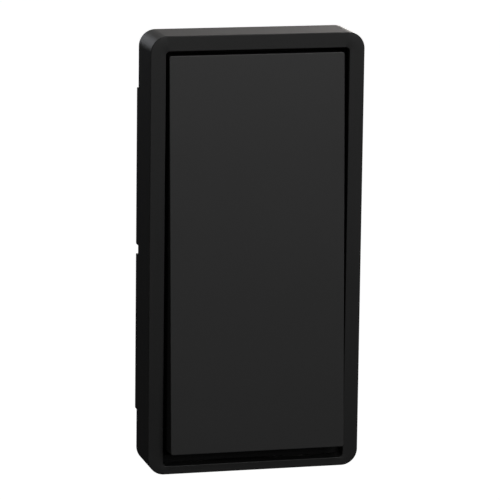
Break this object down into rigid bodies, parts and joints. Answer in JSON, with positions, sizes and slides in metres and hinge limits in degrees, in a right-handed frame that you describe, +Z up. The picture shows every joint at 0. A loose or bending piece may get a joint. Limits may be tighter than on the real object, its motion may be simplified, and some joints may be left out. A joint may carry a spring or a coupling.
{
  "type": "rocker wall switch",
  "caption": "Slim tall rocker wall switch: framed rocker that tips top or bottom in, board, push switches, coin cell and clip-on wall plate.",
  "frame": {"origin": "centre of the wall face, on the back of the wall plate, at half the switch's width and height", "axes": "+Z up, +X to the right as seen from the room, +Y into the wall (the front looks along -Y)"},
  "size_m": [0.0326, 0.0118, 0.0666],
  "materials": {
    "frame_black": "satin moulded black",
    "rocker_black": "matte moulded black",
    "chassis_black": "matte moulded black",
    "plate_black": "matte moulded black",
    "bumper_rubber": "soft dull",
    "spring_steel": "ground",
    "keeper_steel": "zinc plated",
    "screw_steel": "zinc plated",
    "magnet_nickel": "nickel plated",
    "shield_nickel": "tinned",
    "cell_steel": "bright satin",
    "contact_nickel": "nickel plated",
    "board_green": "solder mask",
    "switch_body": "matte",
    "plunger_ivory": "satin",
    "chip_ceramic": "matte ceramic"
  },
  "bodies": {
    "housing": {"bezel_frame": "frame_black", "rocker_axle": "spring_steel", "chassis": "chassis_black", "bumper_upper": "bumper_rubber", "bumper_lower": "bumper_rubber", "keeper_plate_upper": "keeper_steel", "keeper_plate_lower": "keeper_steel", "circuit_board": "board_green", "push_switch_upper": "switch_body", "push_switch_lower": "switch_body", "radio_shield": "shield_nickel", "crystal": "shield_nickel", "chip_antenna": "chip_ceramic", "reserve_capacitor": "chip_ceramic", "coin_cell": "cell_steel", "cell_contact_negative": "contact_nickel", "cell_contact_positive": "contact_nickel", "back_cover": "chassis_black", "cover_screw_1": "screw_steel", "cover_screw_2": "screw_steel", "cover_screw_3": "screw_steel", "cover_screw_4": "screw_steel", "wall_plate": "plate_black"},
    "rocker": {"rocker_cap": "rocker_black", "latch_magnet_upper": "magnet_nickel", "latch_magnet_lower": "magnet_nickel"},
    "upper_plunger": {"plunger_upper": "plunger_ivory"},
    "lower_plunger": {"plunger_lower": "plunger_ivory"},
    "door": {"battery_door": "chassis_black"}
  },
  "joints": [
    {"name": "rocker_tilt", "type": "hinge", "parent": "housing", "child": "rocker", "pos_m": [0, -0.00435, 0], "axis": [1, 0, 0], "range_deg": [0, 6.04]},
    {"name": "upper_plunger_slide", "type": "slide", "parent": "housing", "child": "upper_plunger", "axis": [0, -1, 0], "range_m": [0, 0.00025]},
    {"name": "lower_plunger_slide", "type": "slide", "parent": "housing", "child": "lower_plunger", "axis": [0, -1, 0], "range_m": [-0.00025, 0]},
    {"name": "battery_door_turn", "type": "hinge", "parent": "housing", "child": "door", "pos_m": [0, -0.0011, -0.0125], "axis": [0, 1, 0], "range_deg": [0, 25]}
  ],
  "couplings": [
    {"joint": "upper_plunger_slide", "follows": "rocker_tilt", "m_per_rad": 0.00237},
    {"joint": "lower_plunger_slide", "follows": "rocker_tilt", "m_per_rad": -0.00237}
  ]
}
